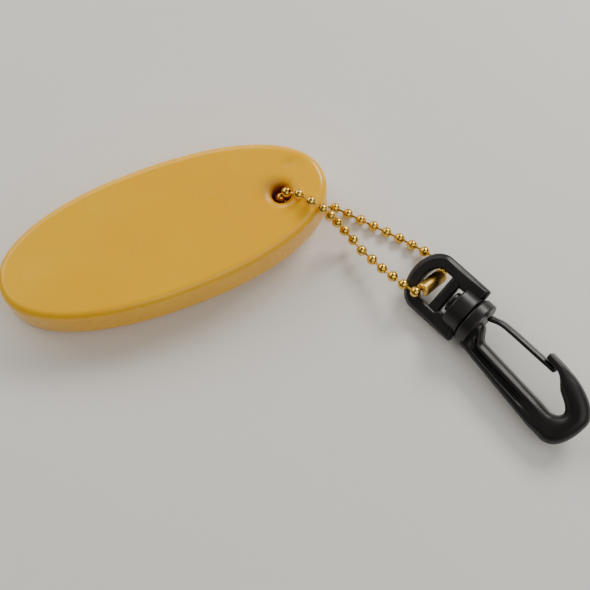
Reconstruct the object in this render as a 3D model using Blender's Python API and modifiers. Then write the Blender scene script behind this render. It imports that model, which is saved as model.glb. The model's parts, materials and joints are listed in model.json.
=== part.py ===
"""Floating keychain: a dipped foam float, a ball chain closed by a coupling, and a plastic swivel snap hook.

The keychain lies on a surface as it comes to rest. The float leans on the strand of chain that runs out from
under its holed end, the other strand drops over its edge, and the swivel eye and hook lie rolled on one side.
Everything is in metres, +Z up, with the float's long axis along +X.
"""
import math

import bmesh
import bpy
from mathutils import Matrix, Vector

MM = 0.001
CLEARANCE = 0.3 * MM
SURFACE = 0.0
OVERCUT = 1.0 * MM

# Float: an oval slab of foam with a dipped vinyl skin
FLOAT_LENGTH = 75.4 * MM
FLOAT_WIDTH = 31.8 * MM
FLOAT_THICKNESS = 10.6 * MM
FLOAT_EDGE_RADIUS = 1.8 * MM
FLOAT_SQUARENESS = 2.17
FLOAT_OUTLINE_POINTS = 64
HOLE_DIAMETER = 4.4 * MM
HOLE_FROM_END = 10.7 * MM
HOLE_OFF_CENTRE = -1.5 * MM
HOLE_RIM_WIDTH = 2.2 * MM
HOLE_RIM_DEPTH = 1.3 * MM

# Ball chain and its coupling
BEAD_COUNT = 32
BEAD_DIAMETER = 2.4 * MM
BEAD_PITCH = 3.2 * MM
BEAD_WALL = 0.22 * MM
BEAD_HOLE_DIAMETER = 1.14 * MM
PIN_DIAMETER = 0.5 * MM
PIN_HEAD_DIAMETER = 1.2 * MM
PIN_HEAD_LENGTH = 0.3 * MM
COUPLING_LENGTH = 7.4 * MM
COUPLING_WALL = 0.22 * MM
COUPLING_PLAY = 0.2 * MM
COUPLING_MOUTH = 1.4 * MM
COUPLING_SLOT = 1.3 * MM
COUPLING_DIP = math.radians(48)
COUPLING_FROM_CROWN = 0.5 * MM

# Swivel eye
EYE_WIDTH = 14.3 * MM
EYE_LENGTH = 17.0 * MM
EYE_CROWN = 5.1 * MM
EYE_THICKNESS = 3.2 * MM
EYE_EDGE_RADIUS = 0.45 * MM
EYE_OPENING_WIDTH = 8.2 * MM
EYE_OPENING_CROWN = 2.8 * MM
EYE_OPENING_TOP = 3.1 * MM
EYE_OPENING_LENGTH = 5.0 * MM
EYE_CROSSBAR_HEIGHT = 2.6 * MM
EYE_CROSSBAR_THICKNESS = 2.6 * MM
CROSSBAR_BEVEL = 0.5 * MM
CROSSBAR_ROOTING = 0.8 * MM
EYE_FOOT_CORNER = 1.2 * MM
WINDOW_WIDTH = 6.6 * MM
WINDOW_HEIGHT = 1.8 * MM
BARREL_DIAMETER = 9.8 * MM

# Hook, its collar and its swivel stem
SWIVEL_GAP = 0.35 * MM
COLLAR_DIAMETER = 10.9 * MM
COLLAR_LENGTH = 2.6 * MM
COLLAR_CHAMFER = 0.35 * MM
STEM_DIAMETER = 3.2 * MM
STEM_HEAD_DIAMETER = 5.0 * MM
STEM_HEAD_LENGTH = 1.0 * MM
HOOK_REACH = 33.4 * MM
HOOK_THICKNESS = 5.0 * MM
HOOK_EDGE_RADIUS = 0.7 * MM
SPINE_ROOT_WIDTH = 3.9 * MM
SPINE_END_WIDTH = 5.4 * MM
SPINE_INNER_OFFSET = 1.8 * MM
BEND_THICKNESS = 5.3 * MM
NOSE_WIDTH = 1.5 * MM
NOSE_TIP_FROM_GAP = 18.2 * MM
NOSE_OUTER_OFFSET = 6.1 * MM
SPINE_INNER_SLOPE = 0.083
CROWN_BELOW_AXIS = 0.6 * MM
SHOULDER_FROM_END = 8.6 * MM
HEEL_BEHIND_TIP = 3.3 * MM
WAIST_FROM_PALM = 3.6 * MM
WAIST_OFFSET = 1.3 * MM
PALM_BELOW_AXIS = 1.9 * MM
SPINE_END_FROM_PALM = 2.4 * MM
FORK_FROM_COLLAR = 2.6 * MM
NECK_TOP = 0.8 * MM
WEB_RIM = 0.85 * MM
WEB_DEPTH = 1.2 * MM
WEB_FROM_COLLAR = 4.6 * MM
WEB_FROM_BEND = 4.2 * MM
WEB_END_LENGTH = 1.6 * MM
WEB_EDGE_RADIUS = 0.2 * MM

# Gate: a thin sprung leaf beside the hook's opening
GATE_THICKNESS = 1.1 * MM
GATE_WIDTH = 4.0 * MM
GATE_OFFSET = 2.95 * MM
GATE_ROOT_RADIUS = 0.7 * MM
GATE_NOSE_OVERLAP = 3.0 * MM
GATE_EDGE_RADIUS = 0.25 * MM

# How the pieces lie on the surface
SWIVEL_FROM_HOLE_X = 28.9 * MM
SWIVEL_FROM_HOLE_Y = -39.6 * MM
HOOK_HEADING = math.radians(-66.5)
HOOK_ROLL = math.radians(28)

BRASS = ("brass_plated_steel", (0.80, 0.56, 0.18), 0.22, 1.0)
VINYL = ("yellow_dipped_vinyl", (0.87, 0.50, 0.02), 0.28, 0.0)
ACETAL = ("black_moulded_acetal", (0.018, 0.018, 0.019), 0.42, 0.0)


def clear_scene():
    for item in list(bpy.data.objects):
        bpy.data.objects.remove(item, do_unlink=True)


def make_collection(name):
    collection = bpy.data.collections.new(name)
    bpy.context.scene.collection.children.link(collection)
    return collection


def make_material(finish):
    name, colour, roughness, metallic = finish
    material = bpy.data.materials.new(name)
    material.use_nodes = True
    shader = material.node_tree.nodes["Principled BSDF"]
    shader.inputs["Base Color"].default_value = (*colour, 1.0)
    shader.inputs["Roughness"].default_value = roughness
    shader.inputs["Metallic"].default_value = metallic
    return material


def add_object(name, data, collection, place=None):
    item = bpy.data.objects.new(name, data)
    item.matrix_world = place or Matrix.Identity(4)
    collection.objects.link(item)
    return item


def turned(name, profile, collection, place=None, steps=24):
    """A profile of (radius, height) turned round the local Z axis, outer side listed from top to bottom."""
    mesh = bpy.data.meshes.new(name)
    points = [(radius, 0.0, height) for radius, height in profile]
    mesh.from_pydata(points, [(i, i + 1) for i in range(len(points) - 1)], [])
    item = add_object(name, mesh, collection, place)
    screw = item.modifiers.new("turn", "SCREW")
    screw.axis = "Z"
    screw.steps = steps
    screw.render_steps = steps
    screw.use_merge_vertices = True
    screw.merge_threshold = 0.001 * MM
    return item


def plate(name, outlines, thickness, edge_radius, collection, place=None, edge_steps=1):
    """A flat outline with its holes, given a thickness about its middle plane and rounded edges."""
    curve = bpy.data.curves.new(name, "CURVE")
    curve.dimensions = "2D"
    curve.fill_mode = "BOTH"
    curve.extrude = thickness / 2 - edge_radius
    curve.bevel_depth = edge_radius
    curve.bevel_resolution = edge_steps
    curve.offset = -edge_radius
    for outline in outlines:
        spline = curve.splines.new("POLY")
        spline.points.add(len(outline) - 1)
        for point, (x, y) in zip(spline.points, outline):
            point.co = (x, y, 0.0, 1.0)
        spline.use_cyclic_u = True
    drawn = add_object(name + "_outline", curve, collection)
    bpy.context.view_layer.update()
    evaluated = drawn.evaluated_get(bpy.context.evaluated_depsgraph_get())
    mesh = bpy.data.meshes.new_from_object(evaluated)
    bpy.data.objects.remove(drawn, do_unlink=True)
    weld(mesh)
    mesh.name = name
    return add_object(name, mesh, collection, place)


def weld(mesh):
    shape = bmesh.new()
    shape.from_mesh(mesh)
    bmesh.ops.remove_doubles(shape, verts=shape.verts, dist=0.001 * MM)
    bmesh.ops.dissolve_degenerate(shape, edges=shape.edges, dist=0.001 * MM)
    bmesh.ops.recalc_face_normals(shape, faces=shape.faces)
    shape.to_mesh(mesh)
    shape.free()


def block(name, low, high, collection, place=None, bevel=0.0):
    """A box between two corners, with its long edges softened."""
    shape = bmesh.new()
    bmesh.ops.create_cube(shape, size=1.0)
    low, high = Vector(low), Vector(high)
    for vertex in shape.verts:
        vertex.co = Vector(((0.5 + c) * h + (0.5 - c) * l for c, l, h in zip(vertex.co, low, high)))
    if bevel:
        bmesh.ops.bevel(shape, geom=shape.edges[:], offset=bevel, segments=2, affect="EDGES", profile=0.5)
    mesh = bpy.data.meshes.new(name)
    shape.to_mesh(mesh)
    shape.free()
    return add_object(name, mesh, collection, place)


def combine(item, tool, operation):
    """Joins a tool to an item or cuts it away, and leaves the tool as a hidden guide."""
    modifier = item.modifiers.new(operation.lower() + "_" + tool.name, "BOOLEAN")
    modifier.operation = operation
    modifier.solver = "EXACT"
    modifier.object = tool
    tool.hide_render = True
    tool.display_type = "WIRE"


def finish_piece(item, material, root, smooth_angle=math.radians(35)):
    """Keeps the evaluated mesh, gives it its material and hangs it from the root."""
    bpy.context.view_layer.update()
    evaluated = item.evaluated_get(bpy.context.evaluated_depsgraph_get())
    mesh = bpy.data.meshes.new_from_object(evaluated)
    item.modifiers.clear()
    item.data = mesh
    weld(mesh)
    mesh.materials.clear()
    mesh.materials.append(material)
    mesh.shade_smooth()
    mesh.set_sharp_from_angle(angle=smooth_angle)
    place = item.matrix_world.copy()
    item.parent = root
    item.matrix_world = place


def ellipse_point(centre_x, half_x, half_y, angle):
    return (centre_x + half_x * math.cos(angle), half_y * math.sin(angle))


# Float


def float_place():
    """The float pivots on the low end of its flat underside until the lower strand fits beneath the hole."""
    low_end = -(FLOAT_LENGTH / 2 - FLOAT_EDGE_RADIUS)
    lift = BEAD_DIAMETER + CLEARANCE
    lever = hole_centre().x + HOLE_DIAMETER / 2 - low_end
    tilt = math.asin(lift / lever)
    pivot = Matrix.Translation((low_end, 0.0, SURFACE))
    return pivot @ Matrix.Rotation(-tilt, 4, "Y") @ pivot.inverted()


def hole_centre():
    return Vector((FLOAT_LENGTH / 2 - HOLE_FROM_END, HOLE_OFF_CENTRE, 0.0))


def float_outline():
    power = 2 / FLOAT_SQUARENESS
    points = []
    for index in range(FLOAT_OUTLINE_POINTS):
        angle = 2 * math.pi * index / FLOAT_OUTLINE_POINTS
        c, s = math.cos(angle), math.sin(angle)
        x = math.copysign(abs(c) ** power, c) * FLOAT_LENGTH / 2
        y = math.copysign(abs(s) ** power, s) * FLOAT_WIDTH / 2
        points.append((x, y))
    return points


def hole_profile():
    """From above the top face down to below the underside, with a quarter-ellipse rim at each face."""
    radius = HOLE_DIAMETER / 2
    steps = 4
    rim = []
    for index in range(steps + 1):
        angle = math.pi / 2 * index / steps
        out = HOLE_RIM_WIDTH * (1 - math.sin(angle))
        down = HOLE_RIM_DEPTH * (1 - math.cos(angle))
        rim.append((radius + out, down))
    top = [(r, FLOAT_THICKNESS - down) for r, down in rim]
    bottom = [(r, down) for r, down in reversed(rim)]
    wide = radius + HOLE_RIM_WIDTH
    above = FLOAT_THICKNESS + OVERCUT
    return [(0.0, above), (wide, above), *top, *bottom, (wide, -OVERCUT), (0.0, -OVERCUT)]


def make_float(parts, tools, root, material):
    place = float_place()
    middle = place @ Matrix.Translation((0.0, 0.0, FLOAT_THICKNESS / 2))
    outlines = [float_outline()]
    body = plate("float_body", outlines, FLOAT_THICKNESS, FLOAT_EDGE_RADIUS, parts, middle, edge_steps=2)
    through = place @ Matrix.Translation(hole_centre())
    hole = turned("float_hole_cutter", hole_profile(), tools, through, steps=24)
    combine(body, hole, "DIFFERENCE")
    finish_piece(body, material, root)


# Ball chain


def hardware_place():
    """The swivel axis: its origin is at the gap between eye and collar, +X towards the hook's bend."""
    bend = HOOK_REACH - BEND_THICKNESS
    drop = spine_outer(bend) * math.sin(HOOK_ROLL) + (HOOK_THICKNESS / 2) * math.cos(HOOK_ROLL)
    height = COLLAR_DIAMETER / 2
    pitch = math.asin((drop - height) / bend)
    heading = Matrix.Rotation(HOOK_HEADING, 4, "Z")
    turn = heading @ Matrix.Rotation(-pitch, 4, "Y") @ Matrix.Rotation(HOOK_ROLL, 4, "X")
    place = hole_centre() + Vector((SWIVEL_FROM_HOLE_X, SWIVEL_FROM_HOLE_Y, SURFACE + height))
    return Matrix.Translation(place) @ turn


def opening_high_x():
    return -EYE_LENGTH + EYE_OPENING_TOP


def opening_low_x():
    return opening_high_x() + EYE_OPENING_LENGTH


def crossbar_end_x():
    return opening_low_x() + EYE_CROSSBAR_HEIGHT


def barrel_top():
    return crossbar_end_x() + WINDOW_HEIGHT


def coupling_radius():
    return BEAD_DIAMETER / 2 + COUPLING_PLAY + COUPLING_WALL


def coupling_axis():
    """The coupling's middle and direction in the eye's frame: slantwise through the opening, near its crown."""
    centre = Vector((opening_high_x() + COUPLING_FROM_CROWN + coupling_radius(), 0.0, 0.0))
    along = Vector((0.0, math.cos(COUPLING_DIP), -math.sin(COUPLING_DIP)))
    return centre, along


def coupling_place():
    """The coupling's local Z is its length and its open side, at local Y, faces away from the eye's face."""
    centre, along = coupling_axis()
    across = Vector((1.0, 0.0, 0.0))
    turn = Matrix((across, along.cross(across), along)).transposed().to_4x4()
    return hardware_place() @ Matrix.Translation(centre) @ turn


def end_bead_offset():
    return COUPLING_LENGTH / 2 - COUPLING_WALL - COUPLING_PLAY - BEAD_DIAMETER / 2


def float_exit(direction):
    """How far the float's edge lies from the hole in a direction seen from above."""
    hole = hole_centre()
    low, high = 0.0, FLOAT_LENGTH
    for _ in range(40):
        reach = (low + high) / 2
        x = abs(hole.x + direction.x * reach) / (FLOAT_LENGTH / 2)
        y = abs(hole.y + direction.y * reach) / (FLOAT_WIDTH / 2)
        inside = x**FLOAT_SQUARENESS + y**FLOAT_SQUARENESS < 1
        low, high = (reach, high) if inside else (low, reach)
    return low


def between(start, end, share, aside, height):
    """A point part of the way from start to end seen from above, moved aside to the left, at a height."""
    run = Vector((end.x - start.x, end.y - start.y, 0.0))
    left = Vector((-run.y, run.x, 0.0)).normalized()
    place = start + run * share + left * aside
    return Vector((place.x, place.y, height))


def chain_route():
    """Points that the beads' centres follow, from the coupling's lower end round to its upper end."""
    radius = BEAD_DIAMETER / 2
    lie = SURFACE + radius
    over = radius + CLEARANCE
    eye = hardware_place()
    slab = float_place()
    hole = hole_centre()
    top = FLOAT_THICKNESS + over
    centre, along = coupling_axis()
    lower_lean = Vector((-0.6 * MM, 0.0, 0.0))
    upper_lean = Vector((-0.6 * MM, 0.3 * MM, 0.2 * MM))
    lower_end = centre + along * end_bead_offset()
    upper_end = centre - along * end_bead_offset()

    # The lower strand: behind the eye, along the surface and under the float to the hole
    under_eye = eye @ Vector((-EYE_LENGTH + 2.4 * MM, 4.2 * MM, -EYE_THICKNESS / 2 - radius - 1.8 * MM))
    low_exit = Vector((hole.x + HOLE_FROM_END, hole.y - 2.2 * MM, lie))
    lower = [
        eye @ lower_end,
        eye @ (lower_end + along * 0.97 * BEAD_PITCH + lower_lean),
        under_eye,
        between(under_eye, low_exit, 0.30, -1.0 * MM, lie),
        between(under_eye, low_exit, 0.52, -0.8 * MM, lie),
        between(under_eye, low_exit, 0.76, -0.5 * MM, lie),
        low_exit,
        Vector((hole.x + 0.52 * HOLE_FROM_END, hole.y - 0.5 * MM, lie)),
        Vector((hole.x + HOLE_DIAMETER / 2, hole.y, lie + 0.2 * MM)),
    ]

    # Up through the hole and over its rim
    through = [
        slab @ Vector((hole.x - 0.3 * MM, hole.y + 0.1 * MM, 0.30 * FLOAT_THICKNESS)),
        slab @ Vector((hole.x - 0.4 * MM, hole.y + 0.3 * MM, 0.58 * FLOAT_THICKNESS)),
        slab @ Vector((hole.x + 0.1 * MM, hole.y - 0.1 * MM, FLOAT_THICKNESS - 2.0 * MM)),
        slab @ Vector((hole.x + 1.3 * MM, hole.y - 0.6 * MM, FLOAT_THICKNESS + 0.3 * MM)),
        slab @ Vector((hole.x + 2.8 * MM, hole.y - 1.8 * MM, top - 0.15 * MM)),
    ]

    # Across the top face and over the edge
    outward = Vector((0.69, -0.724, 0.0)).normalized()
    edge = hole + outward * float_exit(outward)
    drop = [
        slab @ (edge - outward * 2.9 * MM + Vector((0.0, 0.0, top))),
        slab @ (edge - outward * 0.8 * MM + Vector((0.1 * MM, 0.1 * MM, top + 0.35 * MM))),
        slab @ (edge + Vector((1.4 * MM, -1.1 * MM, FLOAT_THICKNESS - 1.2 * MM))),
        slab @ (edge + Vector((3.0 * MM, -2.1 * MM, 0.56 * FLOAT_THICKNESS))),
        slab @ (edge + Vector((4.6 * MM, -3.9 * MM, 0.21 * FLOAT_THICKNESS))),
    ]

    # The upper strand: it comes down just beyond the float and rises slowly over the eye's crown
    on_crown = eye @ Vector((-EYE_LENGTH - 0.5 * MM, -4.1 * MM, EYE_THICKNESS / 2 + radius + 0.65 * MM))
    landing = drop[-1]
    upper = [
        between(landing, on_crown, 0.23, 0.65 * MM, lie + 1.0 * MM),
        between(landing, on_crown, 0.34, 0.0, lie + 2.3 * MM),
        between(landing, on_crown, 0.59, 0.05 * MM, lie + 2.75 * MM),
        between(landing, on_crown, 0.79, -0.1 * MM, lie + 3.6 * MM),
        on_crown,
        eye @ (upper_end - along * 1.03 * BEAD_PITCH + upper_lean),
        eye @ upper_end,
    ]
    return lower + through + drop + upper


def smooth_path(points, steps=24):
    """A Catmull-Rom curve through the points, as a fine polyline."""
    ends = [points[0] * 2 - points[1], *points, points[-1] * 2 - points[-2]]
    path = []
    for before, start, end, after in zip(ends, ends[1:], ends[2:], ends[3:]):
        for step in range(steps):
            t = step / steps
            cubic = (start * 3 - before - end * 3 + after) * t**3
            square = (before * 2 - start * 5 + end * 4 - after) * t**2
            path.append((start * 2 + (end - before) * t + square + cubic) / 2)
    path.append(points[-1])
    for point in path:
        point.z = max(point.z, SURFACE + BEAD_DIAMETER / 2)
    return path


def walk(path, pitch):
    """Steps along the polyline in equal straight strides."""
    centres = [path[0]]
    index = 0
    while index < len(path) - 1:
        start, end = path[index], path[index + 1]
        if (end - centres[-1]).length < pitch:
            index += 1
            continue
        low, high = 0.0, 1.0
        for _ in range(30):
            middle = (low + high) / 2
            near = (start.lerp(end, middle) - centres[-1]).length < pitch
            low, high = (middle, high) if near else (low, middle)
        centres.append(start.lerp(end, high))
    return centres


def bead_centres():
    """The chain's balls along the route, with the slack in its pins shared by every link."""
    path = smooth_path(chain_route())
    low, high = BEAD_DIAMETER, 2 * BEAD_PITCH
    for _ in range(40):
        pitch = (low + high) / 2
        low, high = (pitch, high) if len(walk(path, pitch)) >= BEAD_COUNT else (low, pitch)
    return walk(path, low)[:BEAD_COUNT - 1] + [path[-1]]


def bead_profile():
    """A hollow ball with one round hole at the top: up the inside wall, over the lip and down the outside."""
    outer = BEAD_DIAMETER / 2
    inner = outer - BEAD_WALL
    lip = BEAD_HOLE_DIAMETER / 2
    steps_inside = 3
    steps_outside = 6
    start_inside = math.asin(lip / inner)
    start_outside = math.asin(lip / outer)
    inside = []
    for index in range(steps_inside + 1):
        angle = math.pi + (start_inside - math.pi) * index / steps_inside
        inside.append((inner * math.sin(angle), inner * math.cos(angle)))
    outside = []
    for index in range(steps_outside + 1):
        angle = start_outside + (math.pi - start_outside) * index / steps_outside
        outside.append((outer * math.sin(angle), outer * math.cos(angle)))
    inside[0] = (0.0, -inner)
    outside[-1] = (0.0, -outer)
    return inside + outside


def pin_profile(distance):
    """A pin rooted in this ball's wall that ends in a head inside the next ball, a distance away."""
    root = BEAD_DIAMETER / 2 - BEAD_WALL / 2
    radius = PIN_DIAMETER / 2
    head = PIN_HEAD_DIAMETER / 2
    tip = distance - BEAD_DIAMETER * 0.03
    neck = tip - PIN_HEAD_LENGTH
    rim = tip - PIN_HEAD_LENGTH / 2
    return [(0.0, tip), (head * 0.7, tip), (head, rim), (radius, neck), (radius, root), (0.0, root)]


def make_chain(parts, tools, root, material):
    centres = bead_centres()
    for index, centre in enumerate(centres):
        ahead = centres[index + 1] if index + 1 < len(centres) else None
        behind = centres[index - 1] if index else centre * 2 - ahead
        turn = (behind - centre).to_track_quat("Z", "X").to_matrix().to_4x4()
        name = f"bead_{index + 1:02d}"
        bead = turned(name, bead_profile(), parts, Matrix.Translation(centre) @ turn, steps=10)
        if ahead:
            turn = (ahead - centre).to_track_quat("Z", "X").to_matrix().to_4x4()
            profile = pin_profile((ahead - centre).length)
            pin = turned(name + "_pin", profile, tools, Matrix.Translation(centre) @ turn, steps=6)
            combine(bead, pin, "UNION")
        finish_piece(bead, material, root)


def make_coupling(parts, tools, root, material):
    """A sleeve of sheet with turned-in ends, open along one side so that the end beads can be slid in."""
    outer = coupling_radius()
    inner = outer - COUPLING_WALL
    end = COUPLING_LENGTH / 2
    inside = end - COUPLING_WALL
    mouth = COUPLING_MOUTH / 2
    profile = [
        (mouth, inside), (mouth, end), (inner, end), (outer, inside),
        (outer, -inside), (inner, -end), (mouth, -end), (mouth, -inside),
        (inner, -inside), (inner, inside), (mouth, inside),
    ]
    place = coupling_place()
    sleeve = turned("chain_coupling", profile, parts, place, steps=20)
    half = COUPLING_SLOT / 2
    low = (-half, 0.0, -COUPLING_LENGTH)
    high = (half, 2 * outer, COUPLING_LENGTH)
    slot = block("coupling_slot_cutter", low, high, tools, place)
    combine(sleeve, slot, "DIFFERENCE")
    finish_piece(sleeve, material, root)


# Swivel eye


def eye_outline():
    """A straight-sided plate with an elliptical crown, square at the barrel end."""
    half = EYE_WIDTH / 2
    shoulder = -EYE_LENGTH + EYE_CROWN
    crown = [ellipse_point(shoulder, EYE_CROWN, half, math.radians(a)) for a in range(90, 271, 12)]
    foot = -SWIVEL_GAP
    corner = EYE_FOOT_CORNER
    left = [(foot, half - corner), (foot - corner, half)]
    right = [(foot - corner, -half), (foot, corner - half)]
    return left + crown + right


def eye_hole():
    """The chain's opening and the stem head's narrower window, in one outline that the crossbar divides."""
    half = EYE_OPENING_WIDTH / 2
    side = WINDOW_WIDTH / 2
    step = crossbar_end_x()
    end = barrel_top()
    shoulder = opening_high_x() + EYE_OPENING_CROWN
    crown = [ellipse_point(shoulder, EYE_OPENING_CROWN, half, math.radians(a)) for a in range(90, 271, 15)]
    window = [(step, -side), (end, -side), (end, side), (step, side)]
    return [(step, half), *crown, (step, -half), *window]


def make_eye(parts, tools, root, material):
    place = hardware_place()
    eye = plate("swivel_eye", [eye_outline(), eye_hole()], EYE_THICKNESS, EYE_EDGE_RADIUS, parts, place)

    along = place @ Matrix.Rotation(math.pi / 2, 4, "Y")
    radius = BARREL_DIAMETER / 2
    soft = EYE_EDGE_RADIUS
    foot = -SWIVEL_GAP
    top = barrel_top()
    barrel_profile = [
        (0.0, foot), (radius - soft, foot), (radius, foot - soft),
        (radius, top + soft), (radius - soft, top), (0.0, top),
    ]
    barrel = turned("eye_barrel_tool", barrel_profile, tools, along, steps=32)
    combine(eye, barrel, "UNION")

    reach = EYE_OPENING_WIDTH / 2 + CROSSBAR_ROOTING
    half = EYE_CROSSBAR_THICKNESS / 2
    low = (opening_low_x(), -reach, -half)
    high = (crossbar_end_x(), reach, half)
    bar = block("eye_crossbar_tool", low, high, tools, place, bevel=CROSSBAR_BEVEL)
    combine(eye, bar, "UNION")

    bore_radius = STEM_DIAMETER / 2 + CLEARANCE
    start, end = foot + OVERCUT, top - OVERCUT
    bore_profile = [(0.0, start), (bore_radius, start), (bore_radius, end), (0.0, end)]
    bore = turned("eye_bore_cutter", bore_profile, tools, along, steps=20)
    combine(eye, bore, "DIFFERENCE")
    finish_piece(eye, material, root)


# Hook


def spine_outer(x):
    """How far the spine's outer edge lies from the swivel axis, at a distance along it."""
    inner = spine_inner(x)
    share = min(max((x - COLLAR_LENGTH) / (HOOK_REACH - BEND_THICKNESS - COLLAR_LENGTH), 0.0), 1.0)
    return inner + SPINE_ROOT_WIDTH + (SPINE_END_WIDTH - SPINE_ROOT_WIDTH) * share


def spine_inner(x):
    """The spine's inner edge runs almost along the axis and leans out a little towards the bend."""
    return SPINE_INNER_OFFSET + SPINE_INNER_SLOPE * (x - COLLAR_LENGTH)


def moved(point, x_mm, y_mm):
    return (point[0] + x_mm * MM, point[1] + y_mm * MM)


def bezier(start, lead, follow, end, steps):
    """Points of a cubic curve after its start, the last one at its end."""
    points = []
    for index in range(1, steps + 1):
        t = index / steps
        s = 1 - t
        x = s**3 * start[0] + 3 * s * s * t * lead[0] + 3 * s * t * t * follow[0] + t**3 * end[0]
        y = s**3 * start[1] + 3 * s * s * t * lead[1] + 3 * s * t * t * follow[1] + t**3 * end[1]
        points.append((x, y))
    return points


def hook_outline():
    """The J seen square on: down the spine's outer edge, round the bend, up the nose and back inside."""
    root_x = COLLAR_LENGTH - HOOK_EDGE_RADIUS
    bend_x = HOOK_REACH - BEND_THICKNESS
    foot = (bend_x - 0.6 * MM, -spine_outer(bend_x))
    crown = (HOOK_REACH, -CROWN_BELOW_AXIS)
    shoulder = (HOOK_REACH - SHOULDER_FROM_END, NOSE_OUTER_OFFSET - 0.6 * MM)
    outer = [(root_x, -spine_outer(COLLAR_LENGTH)), foot]
    outer += bezier(foot, moved(foot, 4.5, -0.6), moved(crown, 0.0, -4.0), crown, 8)
    outer += bezier(crown, moved(crown, 0.0, 3.0), moved(shoulder, 4.0, -0.7), shoulder, 7)
    outer += [(NOSE_TIP_FROM_GAP, NOSE_OUTER_OFFSET)]

    nose_inner = NOSE_OUTER_OFFSET - NOSE_WIDTH
    heel = (NOSE_TIP_FROM_GAP + HEEL_BEHIND_TIP, nose_inner - 0.5 * MM)
    palm = (bend_x, -PALM_BELOW_AXIS)
    waist = (bend_x - WAIST_FROM_PALM, WAIST_OFFSET)
    spine_end = (bend_x - SPINE_END_FROM_PALM, -spine_inner(bend_x - SPINE_END_FROM_PALM))
    inner = [(NOSE_TIP_FROM_GAP, nose_inner), heel]
    inner += bezier(heel, moved(heel, 1.4, -0.5), moved(waist, -0.9, 0.8), waist, 3)
    inner += bezier(waist, moved(waist, 1.3, -1.0), moved(palm, 0.0, 1.4), palm, 4)
    inner += bezier(palm, moved(palm, 0.0, -1.1), moved(spine_end, 1.1, 0.0), spine_end, 4)

    # The fork where the gate's neck and the spine part, close to the collar
    fork_x = COLLAR_LENGTH + FORK_FROM_COLLAR
    inner += [(fork_x + 0.3 * MM, -spine_inner(fork_x)), (fork_x, -spine_inner(fork_x) + 1.0 * MM)]
    inner += [(COLLAR_LENGTH + 0.6 * MM, NECK_TOP), (root_x, NECK_TOP)]
    return outer + inner


def web_outline():
    """The sunk web follows the spine between two rims, with a pointed end towards the bend."""
    start = COLLAR_LENGTH + WEB_FROM_COLLAR
    end = HOOK_REACH - BEND_THICKNESS - WEB_FROM_BEND
    low_start, high_start = -spine_outer(start) + WEB_RIM, -spine_inner(start) - WEB_RIM
    low_end, high_end = -spine_outer(end) + WEB_RIM, -spine_inner(end) - WEB_RIM
    point = (end + WEB_END_LENGTH, (low_end + high_end) / 2)
    return [(start, low_start), (end, low_end), point, (end, high_end), (start, high_start)]


def make_hook(parts, tools, root, material):
    place = hardware_place()
    along = place @ Matrix.Rotation(math.pi / 2, 4, "Y")
    radius = COLLAR_DIAMETER / 2
    stem = STEM_DIAMETER / 2
    head = STEM_HEAD_DIAMETER / 2
    under_head = barrel_top() - CLEARANCE
    top = under_head - STEM_HEAD_LENGTH
    profile = [
        (0.0, COLLAR_LENGTH), (radius - COLLAR_CHAMFER, COLLAR_LENGTH), (radius, COLLAR_LENGTH - COLLAR_CHAMFER),
        (radius, COLLAR_CHAMFER), (radius - COLLAR_CHAMFER, 0.0), (stem, 0.0), (stem, under_head),
        (head, under_head), (head, top + STEM_HEAD_LENGTH / 2), (head * 0.75, top), (0.0, top),
    ]
    hook = turned("hook", profile, parts, along, steps=32)
    body = plate("hook_body_tool", [hook_outline()], HOOK_THICKNESS, HOOK_EDGE_RADIUS, tools, place)
    combine(hook, body, "UNION")
    for side, label in ((1, "front"), (-1, "back")):
        face = place @ Matrix.Translation((0.0, 0.0, side * HOOK_THICKNESS / 2))
        web = plate(f"web_cutter_{label}", [web_outline()], 2 * WEB_DEPTH, WEB_EDGE_RADIUS, tools, face)
        combine(hook, web, "DIFFERENCE")
    finish_piece(hook, material, root)


def gate_pivot():
    """The leaf bends where it leaves the collar."""
    x = COLLAR_LENGTH + CLEARANCE + GATE_ROOT_RADIUS
    return Vector((x, GATE_OFFSET, 0.0))


def gate_outline():
    """Seen square on, from the pivot: a round root, a gently bowed leaf and a thinned tip behind the nose."""
    pivot = gate_pivot()
    root = [
        (GATE_ROOT_RADIUS * math.cos(math.radians(a)), GATE_ROOT_RADIUS * math.sin(math.radians(a)))
        for a in range(90, 271, 30)
    ]
    nose = NOSE_TIP_FROM_GAP - pivot.x
    tip = nose + GATE_NOSE_OVERLAP
    seat = NOSE_OUTER_OFFSET - NOSE_WIDTH - CLEARANCE - pivot.y
    outer = [(0.16 * nose, 0.95 * seat), (0.36 * nose, 1.02 * seat), (0.7 * nose, seat), (nose, seat)]
    inner = [(x, y - GATE_THICKNESS) for x, y in outer]
    end = [(tip, seat - GATE_THICKNESS), (tip, seat - 0.45 * GATE_THICKNESS)]
    return root + inner + end + outer[::-1]


def make_gate(parts, tools, root, material):
    place = hardware_place() @ Matrix.Translation(gate_pivot())
    gate = plate("gate", [gate_outline()], GATE_WIDTH, GATE_EDGE_RADIUS, parts, place)
    finish_piece(gate, material, root)


def settle_on_origin(root, parts):
    """Moves everything so that the surface is at z = 0 with the origin under the middle of the whole keychain."""
    bpy.context.view_layer.update()
    corners = [item.matrix_world @ vertex.co for item in parts.objects for vertex in item.data.vertices]
    low = Vector(min(point[axis] for point in corners) for axis in range(3))
    high = Vector(max(point[axis] for point in corners) for axis in range(3))
    root.location = (-(low.x + high.x) / 2, -(low.y + high.y) / 2, -low.z)
    bpy.context.view_layer.update()


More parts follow.
